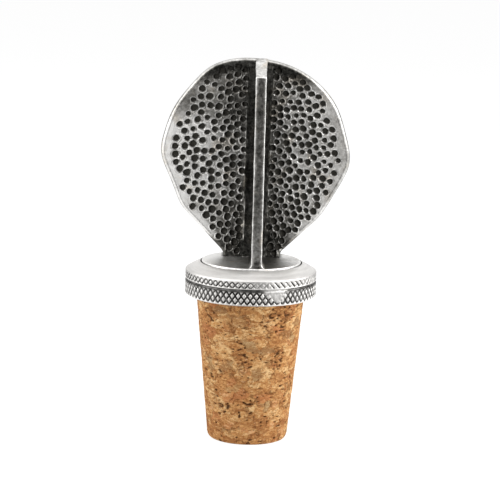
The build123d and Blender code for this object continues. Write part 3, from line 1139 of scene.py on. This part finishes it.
FLOOR_HALF = 4000.0
FLOOR_Z = -0.02  # just under the cork
FLOOR_GREY = (0.88, 0.88, 0.88, 1)
FLOOR_WHITE = 1.26
FLOOR_WHITE_SHARE = 0.7  # in the camera's view
FLAG_PATH = [(60.0, 1.0), (330.0, 1.0), (560.0, 60.0), (640.0, 320.0)]  # distance, height
FLAG_GREY = (0.06, 0.06, 0.06, 1)
ROOM_LIGHT = 0.36
ROOM_SEEN = 1.0
SOFTBOX_SIZE = 460.0
SOFTBOXES = [
    ("softbox_left", (-430, -120, 270), 1.7),
    ("softbox_right", (430, -100, 250), 2.6),
    ("softbox_top", (0, -20, 480), 0.5),
]
LIGHT_AIM = (0, 0, 45)
CAMERA_PLACE = (-0.32, -460, 125)
CAMERA_AIM = (-0.32, 0, 40.5)
CAMERA_LENS = 159.0
CAMERA_SENSOR = 36.0
CAMERA_ROLL = math.radians(1.5)


def seen_directly(tree):
    """1 for a ray from the camera, off metal or through glass, 0 for scattered light."""
    path = tree.nodes.new("ShaderNodeLightPath")
    seen = path.outputs["Is Camera Ray"]
    for kind in ("Is Glossy Ray", "Is Transmission Ray"):
        either = tree.nodes.new("ShaderNodeMath")
        either.operation = "MAXIMUM"
        tree.links.new(seen, either.inputs[0])
        tree.links.new(path.outputs[kind], either.inputs[1])
        seen = either.outputs["Value"]
    return seen


def floor_material():
    """Matt floor paint that the camera sees lifted towards white, shadow kept."""
    material = bpy.data.materials.new("pale_floor")
    material.use_nodes = True
    tree = material.node_tree
    tree.nodes.clear()
    kinds = ("OutputMaterial", "MixShader", "BsdfDiffuse", "Emission", "Math")
    out, mixer, matt, white, share = (tree.nodes.new("ShaderNode" + kind) for kind in kinds)
    share.operation = "MULTIPLY"
    share.inputs[1].default_value = FLOOR_WHITE_SHARE
    white.inputs["Strength"].default_value = FLOOR_WHITE
    matt.inputs["Color"].default_value = FLOOR_GREY
    tree.links.new(seen_directly(tree), share.inputs[0])
    tree.links.new(share.outputs[0], mixer.inputs[0])
    tree.links.new(matt.outputs[0], mixer.inputs[1])
    tree.links.new(white.outputs[0], mixer.inputs[2])
    tree.links.new(mixer.outputs[0], out.inputs["Surface"])
    return material


def make_floor():
    """The pale floor that the stopper stands on."""
    h, z = FLOOR_HALF, FLOOR_Z
    floor = mesh_piece("floor", [(-h, -h, z), (h, -h, z), (h, h, z), (-h, h, z)], [(0, 1, 2, 3)])
    floor.data.materials.append(floor_material())


def make_flag():
    """A dark studio flag before the stopper, which only reflections see."""
    material = bpy.data.materials.new("flag_grey")
    material.use_nodes = True
    shader = material.node_tree.nodes["Principled BSDF"]
    shader.inputs["Base Color"].default_value = FLAG_GREY
    shader.inputs["Roughness"].default_value = 1.0
    points = []
    for depth, height in FLAG_PATH:
        half_w = 24.0 + 0.16 * depth
        points += [(-half_w, -depth, height), (half_w, -depth, height)]
    flag = mesh_piece("flag", points, [(2 * i, 2 * i + 1, 2 * i + 3, 2 * i + 2) for i in range(3)])
    flag.data.materials.append(material)
    flag.visible_camera = False
    flag.visible_diffuse = False
    flag.visible_shadow = False


def make_world():
    """A white room, plain white to the camera and in reflections."""
    world = bpy.data.worlds.new("studio")
    bpy.context.scene.world = world
    world.use_nodes = True
    tree = world.node_tree
    background = tree.nodes["Background"]
    strength = tree.nodes.new("ShaderNodeMapRange")
    strength.inputs["To Min"].default_value = ROOM_LIGHT
    strength.inputs["To Max"].default_value = ROOM_SEEN
    background.inputs["Color"].default_value = (1, 1, 1, 1)
    tree.links.new(seen_directly(tree), strength.inputs["Value"])
    tree.links.new(strength.outputs["Result"], background.inputs["Strength"])


def softbox(name, place, watts):
    """A large soft lamp that faces the middle of the stopper."""
    data = bpy.data.lights.new(name, "AREA")
    data.shape = "RECTANGLE"
    data.size = data.size_y = SOFTBOX_SIZE * MM
    data.energy = watts
    lamp = bpy.data.objects.new(name, data)
    bpy.context.scene.collection.objects.link(lamp)
    lamp.location = Vector(place) * MM
    aim = Vector(LIGHT_AIM) * MM - lamp.location
    lamp.rotation_euler = aim.to_track_quat("-Z", "Y").to_euler()


def make_camera():
    """A long lens a little above the stopper, rolled to match its slight lean."""
    data = bpy.data.cameras.new("camera")
    data.lens = CAMERA_LENS
    data.sensor_width = CAMERA_SENSOR
    camera = bpy.data.objects.new("camera", data)
    bpy.context.scene.collection.objects.link(camera)
    camera.location = Vector(CAMERA_PLACE) * MM
    aim = Vector(CAMERA_AIM) * MM - camera.location
    turn = aim.to_track_quat("-Z", "Y").to_matrix().to_4x4()
    roll = Matrix.Rotation(CAMERA_ROLL, 4, "Z")
    camera.matrix_world = Matrix.Translation(camera.location) @ turn @ roll
    bpy.context.scene.camera = camera


def put_on(piece, material, node):
    """Dresses a finished piece and lets it stand for its CAD node."""
    piece.data.materials.clear()
    piece.data.materials.append(material)
    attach(piece, "root")
    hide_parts(node)


def main():
    put_on(make_head(), pewter_head_material(), "head")
    put_on(make_collar(), collar_material(), "collar")
    put_on(make_cork(), cork_material(), "cork")
    make_floor()
    make_flag()
    make_world()
    for lamp in SOFTBOXES:
        softbox(*lamp)
    make_camera()
    bpy.context.scene.view_settings.view_transform = "Standard"


main()
